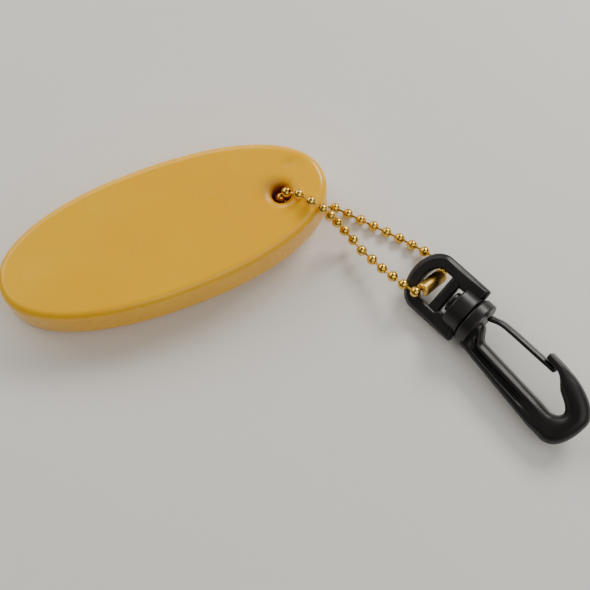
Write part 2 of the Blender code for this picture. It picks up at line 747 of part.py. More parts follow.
def main():
    clear_scene()
    parts = make_collection("floating_keychain")
    tools = make_collection("cutters_and_guides")
    root = bpy.data.objects.new("keychain_frame", None)
    tools.objects.link(root)
    vinyl, brass, acetal = (make_material(finish) for finish in (VINYL, BRASS, ACETAL))
    make_float(parts, tools, root, vinyl)
    make_chain(parts, tools, root, brass)
    make_coupling(parts, tools, root, brass)
    make_eye(parts, tools, root, acetal)
    make_hook(parts, tools, root, acetal)
    make_gate(parts, tools, root, acetal)
    settle_on_origin(root, parts)


main()
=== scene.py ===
"""Looks for a floating keychain: a dipped yellow foam float, a bright ball chain and black acetal fittings.

Everything stands in the frame's own place, in metres. Each piece is made as a smooth surface over the solid
that it stands for: the float's skin, the balls with their pins, the coupling, the eye, the hook and the gate.
"""
import json
import math

import bmesh
import bpy
import numpy as np
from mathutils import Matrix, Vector


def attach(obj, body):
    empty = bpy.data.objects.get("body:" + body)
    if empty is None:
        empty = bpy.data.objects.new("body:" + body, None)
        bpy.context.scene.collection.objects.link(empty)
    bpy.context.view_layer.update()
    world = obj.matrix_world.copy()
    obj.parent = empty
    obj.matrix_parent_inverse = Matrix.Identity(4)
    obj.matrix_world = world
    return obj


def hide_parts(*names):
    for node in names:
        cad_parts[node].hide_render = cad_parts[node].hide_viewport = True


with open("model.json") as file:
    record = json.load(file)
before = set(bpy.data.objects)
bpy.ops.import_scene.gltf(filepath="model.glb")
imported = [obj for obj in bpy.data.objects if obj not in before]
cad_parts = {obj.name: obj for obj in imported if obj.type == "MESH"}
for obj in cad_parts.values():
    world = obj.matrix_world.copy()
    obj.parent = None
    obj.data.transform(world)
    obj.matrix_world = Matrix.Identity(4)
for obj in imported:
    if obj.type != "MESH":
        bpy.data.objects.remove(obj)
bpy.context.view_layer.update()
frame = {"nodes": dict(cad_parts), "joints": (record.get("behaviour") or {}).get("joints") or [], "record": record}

MM = 0.001
MERGE_DISTANCE = 0.0005 * MM

# A Mix node's sockets when it mixes colours: its share, its two colours and its result
MIX_SHARE, MIX_FIRST, MIX_SECOND, MIX_RESULT = 0, 6, 7, 2

# Camera, worked out from the photograph in the frame's own coordinates
CAMERA_PLACE = Vector((-25.7, -75.0, 244.3)) * MM
CAMERA_TARGET = Vector((5.8, 8.1, 0.0)) * MM
CAMERA_LENS = 70.6
SENSOR_WIDTH = 36.0

# Studio: each box's place and target in metres, its width and depth in metres and its power in watts
LAMP_COLOUR = (1.0, 0.96, 0.9)
ROOM_LIGHT = 0.14
LIGHT_BOXES = {
    "far_box": ((-0.18, 0.66, 0.46), (-0.01, 0.0, 0.0), 0.90, 0.40, 3.0),
    "left_box": ((-0.42, 0.34, 0.60), (-0.04, 0.0, 0.0), 0.40, 0.30, 0.5),
    "right_box": ((0.20, -0.38, 0.56), (0.0, 0.0, 0.0), 0.90, 0.60, 1.9),
    "low_box": ((0.52, 0.30, 0.42), (0.05, -0.02, 0.0), 0.34, 0.25, 3.4),
}
TABLE_SIZE = 6.0
TABLE_GAP = 0.02 * MM

# Float. A dent has a middle, a half length, a half width and a depth
FLOAT_EDGE_RADIUS = 1.8 * MM
FLOAT_SQUARENESS = 2.17
HOLE_RIM_WIDTH = 2.2 * MM
HOLE_RIM_DEPTH = 1.3 * MM
SKIN_WAVE_HEIGHT = 0.07 * MM
# Painted shade beside the hole's rim: its middle's offset from the hole, its width and its strength, and a fainter
# painted shade in the dents
PAINTED_SHADE_OFFSET = np.array([-1.2, 1.5]) * MM
PAINTED_SHADE_WIDTH = 2.5 * MM
PAINTED_SHADE_STRENGTH = 0.8
DENT_SHADE_STRENGTH = 0.22
DENTS = np.array([(31.2, 4.9, 2.1, 1.1, 0.16), (33.2, 3.2, 1.4, 1.2, 0.07)]) * MM

# Ball chain
BALL_DIAMETER = 2.4 * MM
BALL_WALL = 0.16 * MM
BALL_MOUTH = 0.9 * MM
BALL_LIP = 0.09 * MM
PIN_DIAMETER = 0.56 * MM
PIN_HEAD_DIAMETER = 1.08 * MM
PIN_HEAD_THICKNESS = 0.3 * MM
PIN_HEAD_FROM_CENTRE = 0.48 * MM
COUPLING_LENGTH = 7.4 * MM
COUPLING_DIAMETER = 3.2 * MM
COUPLING_WALL = 0.2 * MM
COUPLING_MOUTH = 1.4 * MM
COUPLING_SLOT = 1.3 * MM
COUPLING_CORNER = 0.5 * MM
COUPLING_DIP = math.radians(48)
GOLDEN_ANGLE = math.radians(137.5)

# Swivel eye, along X from the swivel's gap
SWIVEL_GAP = 0.35 * MM
EYE_WIDTH = 14.3 * MM
EYE_LENGTH = 17.0 * MM
EYE_CROWN = 5.1 * MM
EYE_THICKNESS = 3.2 * MM
EYE_EDGE_RADIUS = 0.45 * MM
EYE_CHAMFER = 1.0 * MM
EYE_ROUNDNESS = 1.1
EYE_FOOT_CORNER = 1.2 * MM
OPENING_WIDTH = 8.2 * MM
OPENING_CROWN = 2.8 * MM
OPENING_TOP = 3.1 * MM
OPENING_LENGTH = 5.0 * MM
CROSSBAR_HEIGHT = 2.6 * MM
CROSSBAR_THICKNESS = 2.6 * MM
CROSSBAR_EDGE_RADIUS = 0.7 * MM
CROSSBAR_END_RADIUS = 0.1 * MM
CROSSBAR_SEAT = 1.0 * MM
WINDOW_WIDTH = 6.6 * MM
WINDOW_HEIGHT = 1.8 * MM
WINDOW_SHOULDER = 0.3 * MM
BARREL_DIAMETER = 9.8 * MM
BORE_DIAMETER = 3.8 * MM
OPENING_HIGH = -EYE_LENGTH + OPENING_TOP
OPENING_LOW = OPENING_HIGH + OPENING_LENGTH
CROSSBAR_END = OPENING_LOW + CROSSBAR_HEIGHT
BARREL_TOP = CROSSBAR_END + WINDOW_HEIGHT

# Collar, stem, hook and gate. The spine's rows are those of the hook's edge lines up to the bend
COLLAR_DIAMETER = 10.9 * MM
COLLAR_LENGTH = 2.6 * MM
STEM_DIAMETER = 3.2 * MM
STEM_HEAD_DIAMETER = 5.0 * MM
STEM_HEAD_LENGTH = 1.0 * MM
HEAD_CLEARANCE = 0.3 * MM
SWIVEL_EDGE_RADIUS = 0.4 * MM
HOOK_THICKNESS = 5.0 * MM
HOOK_EDGE_RADIUS = 0.7 * MM
BEND_EDGE_RADIUS = 2.1 * MM
HOOK_ROOT_RADIUS = 0.05 * MM
NOSE_TIP_RADIUS = 0.35 * MM
SPINE_CHAMFER = 1.3 * MM
SPINE_ROUNDNESS = 1.15
SPINE_ROWS = 62
BEND_START = 23 * MM
BEND_RUN_IN = 4 * MM
FULL_ROUND = 2.0
GROOVE_DEPTH = 0.8 * MM
GROOVE_START = 3.4 * MM
GROOVE_END = 24.6 * MM
GROOVE_RUN_IN = 1.5 * MM
GROOVE_TAPER = 9.0 * MM
GATE_PIVOT = (3.6 * MM, 2.95 * MM)
GATE_WIDTH = 4.0 * MM
GATE_ROOT_RADIUS = 0.7 * MM
GATE_EDGE_RADIUS = 0.25 * MM
GATE_CHAMFER = 0.8 * MM
GATE_ROUNDNESS = 1.1
GATE_TIP_RADIUS = 0.2 * MM

# Places across the spine, from -1 at its inner edge to 1 at its outer edge
GROOVE_INNER_WALL = -0.72
GROOVE_INNER_SLOPE = 0.16
GROOVE_OUTER_WALL = 0.70
GROOVE_OUTER_SLOPE = 0.22
GROOVE_NARROWING = 0.35
RIB_PLACE = -0.12
RIB_DRIFT = 0.2
RIB_WIDTH = 0.13
RIB_HEIGHT = 0.75

# The swivel's axis in the fitting's own frame
SWIVEL_MIDDLE = np.zeros(3)
SWIVEL_AXIS = (1.0, 0.0, 0.0)


# Frames of the pieces: an origin and three rows of axes


def unit(vector):
    """A vector's direction, with length 1."""
    vector = np.array(vector, float)
    return vector / np.linalg.norm(vector)


def joint(name):
    """The frame's record of one joint."""
    return next(item for item in frame["joints"] if item["name"] == name)


def float_frame():
    """At the middle of the float's underside, with Z through its thickness and X along it."""
    mount = frame["record"]["mounts"][0]
    up = -unit(mount["axis"])
    along = unit(np.cross((0.0, 1.0, 0.0), up))
    return np.array(mount["pos_m"]), np.array([along, np.cross(up, along), up])


def fitting_frame():
    """At the swivel's gap, with X along the swivel to the bend, Y to the gate and Z out of the eye's face."""
    along = unit(joint("hook_swivel")["axis"])
    face = unit(joint("eye_swing")["axis"])
    return np.array(joint("hook_swivel")["pos_m"]), np.array([along, np.cross(face, along), face])


def placed(points, place):
    """Points of a piece's own frame, in the shared frame."""
    origin, axes = place
    return points @ axes + origin


def node_points(name):
    """The corners of one solid's mesh, in the shared frame."""
    mesh = frame["nodes"][name].data
    flat = np.zeros(len(mesh.vertices) * 3)
    mesh.vertices.foreach_get("co", flat)
    return flat.reshape(-1, 3)


# Meshes from grids of points


def lattice(points, around=True, along=False):
    """Quads between the neighbours of a grid, closed where it goes around, facing outwards.

    Each quad's corners also get their places on the grid, from 0 to 1 both ways.
    """
    rows, columns = points.shape[:2]
    index = np.arange(rows * columns).reshape(rows, columns)
    index = np.concatenate([index, index[:1]]) if around else index
    index = np.concatenate([index, index[:, :1]], axis=1) if along else index
    r, c = np.meshgrid(np.arange(index.shape[0] - 1), np.arange(index.shape[1] - 1), indexing="ij")
    corners = [(r, c), (r + 1, c), (r + 1, c + 1), (r, c + 1)]
    quads = np.stack([index[i, j] for i, j in corners], axis=-1).reshape(-1, 4)
    scale = np.array([index.shape[0] - 1, index.shape[1] - 1])
    places = np.stack([np.stack([i, j], axis=-1) / scale for i, j in corners], axis=-2).reshape(-1, 4, 2)
    flat = points.reshape(-1, 3)
    middle = flat.mean(axis=0)
    a, b, c, d = (flat[quads[:, k]] - middle for k in range(4))
    inside_out = np.sum(np.cross(c - a, d - b) * (a + b + c + d)) < 0
    if inside_out:
        quads, places = quads[:, ::-1], places[:, ::-1]
    return flat, quads, places


def piece(name, lattices, material, body, replaced=(), place=None):
    """One object from one or more lattices, which rides on a body and stands for the nodes it replaces."""
    points, quads, places, count = [], [], [], 0
    for flat, faces, corners in lattices:
        points.append(flat)
        quads.append(faces + count)
        places.append(corners)
        count += len(flat)
    points = np.concatenate(points)
    if place:
        points = placed(points, place)
    mesh = bpy.data.meshes.new(name)
    mesh.from_pydata(points.tolist(), [], np.concatenate(quads).tolist())
    layer = mesh.uv_layers.new(name="surface")
    layer.data.foreach_set("uv", np.concatenate(places).reshape(-1))
    merge_poles(mesh)
    mesh.shade_smooth()
    mesh.materials.append(material)
    item = bpy.data.objects.new(name, mesh)
    bpy.context.scene.collection.objects.link(item)
    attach(item, body)
    for node in replaced:
        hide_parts(node)
    return item


def merge_poles(mesh):
    """Joins points that lie in one place, such as a pole's ring."""
    shape = bmesh.new()
    shape.from_mesh(mesh)
    bmesh.ops.remove_doubles(shape, verts=shape.verts, dist=MERGE_DISTANCE)
    shape.to_mesh(mesh)
    shape.free()


def turned(profile, origin, axis, steps=32, spin=0.0):
    """A profile of (radius, height) rows turned about an axis through the origin, one grid row a step.

    A point is origin + axis * height + radius * (side * cos(angle) + other * sin(angle)).
    """
    axis = unit(axis)
    side = unit(np.cross(axis, (0.3, 0.5, 0.8)))
    other = np.cross(axis, side)
    angle = spin + np.linspace(0, 2 * np.pi, steps, endpoint=False)[:, None, None]
    radius, height = profile[None, :, :1], profile[None, :, 1:]
    return origin + axis * height + radius * (side * np.cos(angle) + other * np.sin(angle))


def arc(centre, radius, start, end, steps):
    """Rows of (radius, height) on a circle in the profile's plane, with its angle from the height axis."""
    angle = np.linspace(start, end, steps)
    return np.stack([centre[0] + radius * np.sin(angle), centre[1] + radius * np.cos(angle)], axis=1)


# Materials


def linear(colour):
    """A colour written as sRGB hex, in linear light."""
    channels = np.array([int(colour[i:i + 2], 16) for i in (1, 3, 5)]) / 255
    low = channels / 12.92
    high = ((channels + 0.055) / 1.055) ** 2.4
    return (*np.where(channels <= 0.04045, low, high), 1.0)


def add(tree, kind, values=None, links=None, **settings):
    """Adds a node, sets its properties and its sockets' values, and links outputs into its sockets."""
    node = tree.nodes.new(kind)
    for key, value in settings.items():
        setattr(node, key, value)
    for socket, value in (values or {}).items():
        node.inputs[socket].default_value = value
    for socket, output in (links or {}).items():
        tree.links.new(output, node.inputs[socket])
    return node


def new_material(name, **values):
    """A material with its shader's plain values set, and its node tree and shader for what follows."""
    material = bpy.data.materials.new(name)
    material.use_nodes = True
    tree = material.node_tree
    shader = tree.nodes["Principled BSDF"]
    for socket, value in values.items():
        shader.inputs[socket.replace("_", " ")].default_value = value
    return material, tree, shader


def dipped_vinyl():
    """Plastisol vinyl, dipped and baked: a glossy, slightly wavy skin, with a hint of light inside it.

    Painted shade makes it browner on the rim beside the hole, in the dents and deep in the hole. It is duller
    where the painted shade lies beside the rim and in the dents, and in smears where hands have rubbed it.
    """
    material, tree, shader = new_material(
        "dipped_vinyl", Roughness=0.25, IOR=1.53, Subsurface_Weight=0.05, Subsurface_Scale=1.5 * MM)
    shader.inputs["Subsurface Radius"].default_value = (1.0, 0.5, 0.1)
    place = add(tree, "ShaderNodeTexCoord").outputs["Object"]
    clouds = add(tree, "ShaderNodeTexNoise", {"Scale": 1 / (22 * MM), "Detail": 2.0}, {"Vector": place})
    share = add(tree, "ShaderNodeMapRange", {"From Min": 0.35, "From Max": 0.65},
                {"Value": clouds.outputs["Fac"]})
    skin = add(tree, "ShaderNodeMix", {MIX_FIRST: linear("#FFC400"), MIX_SECOND: linear("#FFBC00")},
               {MIX_SHARE: share.outputs["Result"]}, data_type="RGBA")
    # Painted shade beside the hole's rim and in the dents, which also makes the skin duller there
    painted_shade = add(tree, "ShaderNodeAttribute", attribute_name="painted_rim_shade")
    skin = add(tree, "ShaderNodeMix", {MIX_SECOND: linear("#8E6400")},
               {MIX_SHARE: painted_shade.outputs["Fac"], MIX_FIRST: skin.outputs[MIX_RESULT]}, data_type="RGBA")
    # Painted shade: browner skin deep in the hole
    deep = add(tree, "ShaderNodeAttribute", attribute_name="hole_depth")
    skin = add(tree, "ShaderNodeMix", {MIX_SECOND: linear("#B45A00")},
               {MIX_SHARE: deep.outputs["Fac"], MIX_FIRST: skin.outputs[MIX_RESULT]}, data_type="RGBA")
    tree.links.new(skin.outputs[MIX_RESULT], shader.inputs["Base Color"])
    smears = add(tree, "ShaderNodeTexNoise", {"Scale": 1 / (9 * MM), "Detail": 5.0}, {"Vector": place})
    gloss = add(tree, "ShaderNodeMapRange", {"From Min": 0.3, "From Max": 0.7, "To Min": 0.2, "To Max": 0.3},
                {"Value": smears.outputs["Fac"]})
    duller = add(tree, "ShaderNodeMath", {1: 0.5}, {0: painted_shade.outputs["Fac"], 2: gloss.outputs["Result"]},
                 operation="MULTIPLY_ADD")
    tree.links.new(duller.outputs[0], shader.inputs["Roughness"])
    peel = add(tree, "ShaderNodeTexNoise", {"Scale": 1 / (1.1 * MM), "Detail": 1.0}, {"Vector": place})
    relief = add(tree, "ShaderNodeBump", {"Distance": 0.006 * MM}, {"Height": peel.outputs["Fac"]})
    tree.links.new(relief.outputs["Normal"], shader.inputs["Normal"])
    return material


def brass_plate():
    """Steel flashed with bright brass: mirror-like, with warmer and duller patches and a fine seam."""
    material, tree, shader = new_material("brass_plate", Metallic=1.0, Roughness=0.15)
    place = add(tree, "ShaderNodeTexCoord").outputs["Object"]
    wear = add(tree, "ShaderNodeTexNoise", {"Scale": 1 / (0.9 * MM), "Detail": 4.0}, {"Vector": place})
    share = add(tree, "ShaderNodeMapRange", {"From Min": 0.35, "From Max": 0.7},
                {"Value": wear.outputs["Fac"]})
    plate = add(tree, "ShaderNodeMix", {MIX_FIRST: linear("#F6D368"), MIX_SECOND: linear("#DFA93A")},
                {MIX_SHARE: share.outputs["Result"]}, data_type="RGBA")
    tree.links.new(plate.outputs[MIX_RESULT], shader.inputs["Base Color"])
    gloss = add(tree, "ShaderNodeMapRange",
                {"From Min": 0.3, "From Max": 0.75, "To Min": 0.1, "To Max": 0.24},
                {"Value": wear.outputs["Fac"]})
    tree.links.new(gloss.outputs["Result"], shader.inputs["Roughness"])
    around = add(tree, "ShaderNodeSeparateXYZ", links={"Vector": add(tree, "ShaderNodeUVMap").outputs["UV"]})
    away = add(tree, "ShaderNodeMath", {1: 0.5}, {0: around.outputs["X"]}, operation="PINGPONG")
    seam = add(tree, "ShaderNodeMapRange", {"From Max": 0.012}, {"Value": away.outputs[0]})
    relief = add(tree, "ShaderNodeBump", {"Distance": 0.03 * MM}, {"Height": seam.outputs["Result"]})
    tree.links.new(relief.outputs["Normal"], shader.inputs["Normal"])
    return material


def coupling_brass():
    """The same plating on folded sheet, rougher, with a painted dark reflection along its body and a painted
    highlight at its ends.
    """
    material, tree, shader = new_material("coupling_brass", Metallic=1.0, Roughness=0.3)
    place = add(tree, "ShaderNodeTexCoord").outputs["Object"]
    wear = add(tree, "ShaderNodeTexNoise", {"Scale": 1 / (1.6 * MM), "Detail": 4.0}, {"Vector": place})
    share = add(tree, "ShaderNodeMapRange", {"From Min": 0.35, "From Max": 0.65},
                {"Value": wear.outputs["Fac"]})
    # Painted dark reflection: darker, browner brass along the body, in random patches
    plate = add(tree, "ShaderNodeMix", {MIX_FIRST: linear("#6A5226"), MIX_SECOND: linear("#4C3A1A")},
                {MIX_SHARE: share.outputs["Result"]}, data_type="RGBA")
    along = add(tree, "ShaderNodeSeparateXYZ", links={"Vector": add(tree, "ShaderNodeUVMap").outputs["UV"]})
    # Painted highlight: brighter brass at both ends
    end = add(tree, "ShaderNodeMath", {1: 0.5}, {0: along.outputs["Y"]}, operation="PINGPONG")
    painted_end_highlight = add(tree, "ShaderNodeMapRange", {"From Min": 0.5, "From Max": 0.44},
                    {"Value": end.outputs[0]})
    plate = add(tree, "ShaderNodeMix", {MIX_SECOND: linear("#EBC062")},
                {MIX_SHARE: painted_end_highlight.outputs["Result"], MIX_FIRST: plate.outputs[MIX_RESULT]},
                data_type="RGBA")
    tree.links.new(plate.outputs[MIX_RESULT], shader.inputs["Base Color"])
    gloss = add(tree, "ShaderNodeMapRange", {"From Min": 0.3, "From Max": 0.7, "To Min": 0.3, "To Max": 0.48},
                {"Value": wear.outputs["Fac"]})
    tree.links.new(gloss.outputs["Result"], shader.inputs["Roughness"])
    lines = add(tree, "ShaderNodeTexNoise", {"Scale": 1 / (0.25 * MM), "Detail": 2.0}, {"Vector": place})
    relief = add(tree, "ShaderNodeBump", {"Distance": 0.01 * MM}, {"Height": lines.outputs["Fac"]})
    tree.links.new(relief.outputs["Normal"], shader.inputs["Normal"])
    return material


def moulded_acetal():
    """Black acetal from a satin mould: soft highlights, faint flow marks and a fine grain."""
    material, tree, shader = new_material("moulded_acetal", Roughness=0.38, IOR=1.48)
    place = add(tree, "ShaderNodeTexCoord").outputs["Object"]
    flow = add(tree, "ShaderNodeTexNoise", {"Scale": 1 / (5 * MM), "Detail": 4.0}, {"Vector": place})
    share = add(tree, "ShaderNodeMapRange", {"From Min": 0.3, "From Max": 0.7},
                {"Value": flow.outputs["Fac"]})
    body = add(tree, "ShaderNodeMix", {MIX_FIRST: linear("#101011"), MIX_SECOND: linear("#161617")},
               {MIX_SHARE: share.outputs["Result"]}, data_type="RGBA")
    tree.links.new(body.outputs[MIX_RESULT], shader.inputs["Base Color"])
    gloss = add(tree, "ShaderNodeMapRange",
                {"From Min": 0.3, "From Max": 0.7, "To Min": 0.32, "To Max": 0.44},
                {"Value": flow.outputs["Fac"]})
    tree.links.new(gloss.outputs["Result"], shader.inputs["Roughness"])
    grain = add(tree, "ShaderNodeTexNoise", {"Scale": 1 / (0.18 * MM), "Detail": 2.0}, {"Vector": place})
    relief = add(tree, "ShaderNodeBump", {"Distance": 0.004 * MM}, {"Height": grain.outputs["Fac"]})
    tree.links.new(relief.outputs["Normal"], shader.inputs["Normal"])
    return material


# Float


def make_float_skin(material):
    """A ring of profiles from the hole's wall to the oval edge, each one over the top and the underside.

    The edge is a superellipse |x/a|^n + |y/b|^n = 1. Each profile runs from its point of the hole's circle
    along the top face to the edge, round it and back below. The hole's rims are quarter ellipses, and the
    float's edges are quarter circles.
    """
    place = float_frame()
    origin, axes = place
    cad = (node_points("float_body") - origin) @ axes.T
    half_length, half_width, thickness = cad[:, 0].max(), cad[:, 1].max(), cad[:, 2].max()
    hole = ((np.array(joint("chain_swing")["pos_m"]) - origin) @ axes.T)[:2]
    hole_radius = np.linalg.norm(cad[:, :2] - hole, axis=1).min()

    angle = np.linspace(0, 2 * np.pi, 320, endpoint=False)
    c, s = np.cos(angle), np.sin(angle)
    power = 2 / FLOAT_SQUARENESS
    edge = np.stack([
        half_length * np.sign(c) * np.abs(c) ** power,
        half_width * np.sign(s) * np.abs(s) ** power,
    ], axis=1)
    half = np.array([half_length, half_width])
    normal = np.sign(edge) * (np.abs(edge) / half) ** (FLOAT_SQUARENESS - 1) / half
    normal /= np.linalg.norm(normal, axis=1, keepdims=True)
    inner = edge - normal * FLOAT_EDGE_RADIUS
    towards = edge - hole
    towards /= np.linalg.norm(towards, axis=1, keepdims=True)

    # Columns: distance from the hole's middle, share of the way to the edge, way out past it, and height
    bend = np.linspace(0, np.pi / 2, 12)
    rim_out, rim_down = HOLE_RIM_WIDTH * (1 - np.sin(bend[::-1])), HOLE_RIM_DEPTH * (1 - np.cos(bend[::-1]))
    wide = hole_radius + HOLE_RIM_WIDTH
    share = np.linspace(0, 1, 44)[1:-1]
    wall = np.linspace(thickness / 2, thickness - HOLE_RIM_DEPTH, 6)[:-1]
    rows = [(hole_radius, 0, 0, z) for z in wall]
    rows += [(hole_radius + out, 0, 0, thickness - down) for out, down in zip(rim_out, rim_down)]
    rows += [(wide, w, 0, thickness) for w in share]
    edge_out, edge_down = FLOAT_EDGE_RADIUS * np.sin(bend), FLOAT_EDGE_RADIUS * (1 - np.cos(bend))
    rows += [(wide, 1, out, thickness - down) for out, down in zip(edge_out, edge_down)]
    side = np.linspace(thickness - FLOAT_EDGE_RADIUS, thickness / 2, 6)[1:-1]
    rows += [(wide, 1, FLOAT_EDGE_RADIUS, z) for z in side]
    rows = np.array(rows)
    below = rows[::-1] * (1, 1, 1, -1) + (0, 0, 0, thickness)
    middle = [(wide, 1, FLOAT_EDGE_RADIUS, thickness / 2)]
    radius, share, out, height = np.concatenate([rows, middle, below[:-1]]).T

    start = hole + towards[:, None] * radius[:, None]
    flat = start * (1 - share[:, None]) + inner[:, None] * share[:, None] + normal[:, None] * out[:, None]
    x, y = flat[..., 0], flat[..., 1]
    upper = np.clip(height / thickness * 2 - 1, 0, 1) ** 2
    z = height + upper * (skin_waves(x, y) - dent(x, y))
    shapes = [lattice(np.stack([x, y, z], axis=-1), along=True)]
    skin = piece("float_skin", shapes, material, "float", ["float_body"], place)
    mark_hole(skin, place, hole, hole_radius, thickness)


def skin_waves(x, y):
    """Broad, shallow waves that the dip leaves in the skin: three crossed cosines, 15 to 25 mm long."""
    waves = np.cos(0.19 * x / MM + 0.16 * y / MM + 0.6) + 0.8 * np.cos(0.11 * x / MM - 0.33 * y / MM + 1.9)
    return SKIN_WAVE_HEIGHT * (waves + 0.5 * np.cos(0.36 * x / MM + 0.21 * y / MM)) / 2.3


def dent(x, y):
    """Shallow knocks beside the hole: each is a bell curve depth * exp(-(x/length)^2 - (y/width)^2)."""
    depth = np.zeros_like(x)
    for middle_x, middle_y, half_length, half_width, deep in DENTS:
        depth += deep * np.exp(-((x - middle_x) / half_length) ** 2 - ((y - middle_y) / half_width) ** 2)
    return depth


def mark_hole(item, place, hole, radius, thickness):
    """Writes how deep in the hole each point lies, from 0 at the rim to 1, and where painted shade lies on the
    skin.

    The painted shade is a bell curve about a middle beside the hole's rim, with a fainter share in the dents.
    """
    origin, axes = place
    mesh = item.data
    flat = np.zeros(len(mesh.vertices) * 3)
    mesh.vertices.foreach_get("co", flat)
    local = (flat.reshape(-1, 3) - origin) @ axes.T
    away = np.linalg.norm(local[:, :2] - hole, axis=1)
    near = np.clip(1 - (away - radius) / HOLE_RIM_WIDTH, 0, 1)
    down = np.clip((thickness - local[:, 2]) / (2 * HOLE_RIM_DEPTH), 0, 1)
    layer = mesh.attributes.new("hole_depth", "FLOAT", "POINT")
    layer.data.foreach_set("value", near ** 1.5 * down)
    # Painted shade: a bell curve beside the hole's rim, with a fainter share in the dents
    off = np.linalg.norm(local[:, :2] - hole - PAINTED_SHADE_OFFSET, axis=1)
    layer = mesh.attributes.new("painted_rim_shade", "FLOAT", "POINT")
    dent_shade = DENT_SHADE_STRENGTH * dent(local[:, 0], local[:, 1]) / DENTS[:, 4].max()
    layer.data.foreach_set("value", PAINTED_SHADE_STRENGTH * np.exp(-(off / PAINTED_SHADE_WIDTH) ** 2) + dent_shade)


# Ball chain


def ball_centre(points):
    """The middle of the ball's sphere by least squares, refitted as points off the sphere are left out."""
    centre = points.mean(axis=0)
    for tolerance in (0.9, 0.5, 0.3, 0.15, 0.08):
        near = points[np.abs(np.linalg.norm(points - centre, axis=1) - BALL_DIAMETER / 2) < tolerance * MM]
        terms = np.concatenate([2 * near, np.ones((len(near), 1))], axis=1)
        centre = np.linalg.lstsq(terms, np.sum(near**2, axis=1), rcond=None)[0][:3]
    return centre


def ball_profile():
    """A hollow ball with a mouth at each end: two arcs about one centre, joined by turned-in lips."""
    outer = BALL_DIAMETER / 2
    inner = outer - BALL_WALL
    lip = outer - BALL_WALL / 2
    opening = math.asin(BALL_MOUTH / 2 / outer)
    skin = arc((0, 0), outer, opening, math.pi - opening, 22)
    cavity = arc((0, 0), inner, math.pi - opening, opening, 12)
    turn_in = np.array([[lip * math.sin(opening) - BALL_LIP, lip * math.cos(opening) - BALL_LIP / 2]])
    return np.concatenate([skin, turn_in * (1, -1), cavity, turn_in])


def pin_profile(length):
    """A wire between two balls' middles, with a flat head inside each: waist, neck, head and tip rows."""
    radius = PIN_DIAMETER / 2
    head = PIN_HEAD_DIAMETER / 2
    reach = length / 2 - PIN_HEAD_FROM_CENTRE
    tip = reach + PIN_HEAD_THICKNESS
    half = np.array([(radius * 0.92, 0), (radius, reach / 2), (radius, reach),
                     (head, reach + PIN_HEAD_THICKNESS / 3), (head * 0.8, tip), (0, tip)])
    return np.concatenate([half[::-1], half[1:] * (1, -1)])


def make_chain(material):
    """Each ball is its profile turned about the mean direction to its neighbours, with its pin ahead."""
    names = sorted(name for name in frame["nodes"] if name.startswith("bead_"))
    centres = np.array([ball_centre(node_points(name)) for name in names])
    ahead = np.diff(centres, axis=0)
    ahead /= np.linalg.norm(ahead, axis=1, keepdims=True)
    axes = np.concatenate([ahead[:1], ahead[1:] + ahead[:-1], ahead[-1:]])
    for index, name in enumerate(names):
        ball = turned(ball_profile(), centres[index], axes[index], spin=index * GOLDEN_ANGLE)
        shapes = [lattice(ball, along=True)]
        if index + 1 < len(names):
            link = centres[index + 1] - centres[index]
            middle = centres[index] + link / 2
            shapes.append(lattice(turned(pin_profile(np.linalg.norm(link)), middle, link, steps=14)))
        piece(name.replace("bead", "ball"), shapes, material, "chain", [name])


def make_coupling(material):
    """A folded sheet sleeve: a profile that turns in at both ends, turned about its axis but for the slot."""
    axes = fitting_frame()[1]
    along = axes[1] * math.cos(COUPLING_DIP) - axes[2] * math.sin(COUPLING_DIP)
    open_side = np.cross(along, axes[0])
    centre = np.array(joint("eye_swing")["pos_m"])
    radius = (COUPLING_DIAMETER - COUPLING_WALL) / 2
    end = (COUPLING_LENGTH - COUPLING_WALL) / 2
    cap = arc((radius - COUPLING_CORNER, end - COUPLING_CORNER), COUPLING_CORNER, 0, math.pi / 2, 6)
    half = np.concatenate([[(COUPLING_MOUTH / 2, end)], cap])
    profile = np.concatenate([half, half[::-1] * (1, -1)])
    gap = COUPLING_SLOT / 2 / np.maximum(profile[:, 0], COUPLING_MOUTH / 2 + 0.05 * MM)
    start = np.arcsin(np.clip(gap, 0, 0.95))
    turn = start + np.linspace(0, 1, 40)[:, None] * (2 * np.pi - 2 * start)
    side = np.cross(open_side, along)
    ring = np.cos(turn)[..., None] * open_side + np.sin(turn)[..., None] * side
    points = centre + profile[:, :1] * ring + profile[:, 1:] * along
    shapes = [lattice(points, around=False)]
    sleeve = piece("coupling_sleeve", shapes, material, "chain", ["chain_coupling"])
    wall = sleeve.modifiers.new("wall", "SOLIDIFY")
    wall.thickness = COUPLING_WALL
    wall.offset = 0


# Fittings, all in the fitting's own frame


def bezier(start, lead, follow, end, steps=14):
    """A cubic curve from start to end, without its last point, as rows of (x, y) in metres."""
    t = np.linspace(0, 1, steps, endpoint=False)[:, None]
    start, lead, follow, end = (np.array(point, float) for point in (start, lead, follow, end))
    return ((1 - t)**3 * start + 3 * (1 - t)**2 * t * lead + 3 * (1 - t) * t**2 * follow + t**3 * end) * MM


def straight(start, end, steps=6):
    """A straight stretch from start to end, without its last point, as rows of (x, y) in metres."""
    t = np.linspace(0, 1, steps, endpoint=False)[:, None]
    return (np.array(start, float) * (1 - t) + np.array(end, float) * t) * MM


def rounded(corners, radius, steps=5):
    """A profile whose inner corners become quadratic curves, with rows beside them that keep flats flat."""
    corners = [np.array(corner, float) for corner in corners]
    rows = [corners[0]]
    for before, corner, after in zip(corners, corners[1:], corners[2:]):
        back, on = before - corner, after - corner
        reach = min(radius, 0.4 * np.linalg.norm(back), 0.4 * np.linalg.norm(on))
        start, end = corner + unit(back) * reach, corner + unit(on) * reach
        t = np.linspace(0, 1, steps)[:, None]
        rows.append(start + (start - corner) * 0.2)
        rows.extend((1 - t)**2 * start + 2 * (1 - t) * t * corner + t**2 * end)
        rows.append(end + (end - corner) * 0.2)
    return np.array(rows + [corners[-1]])


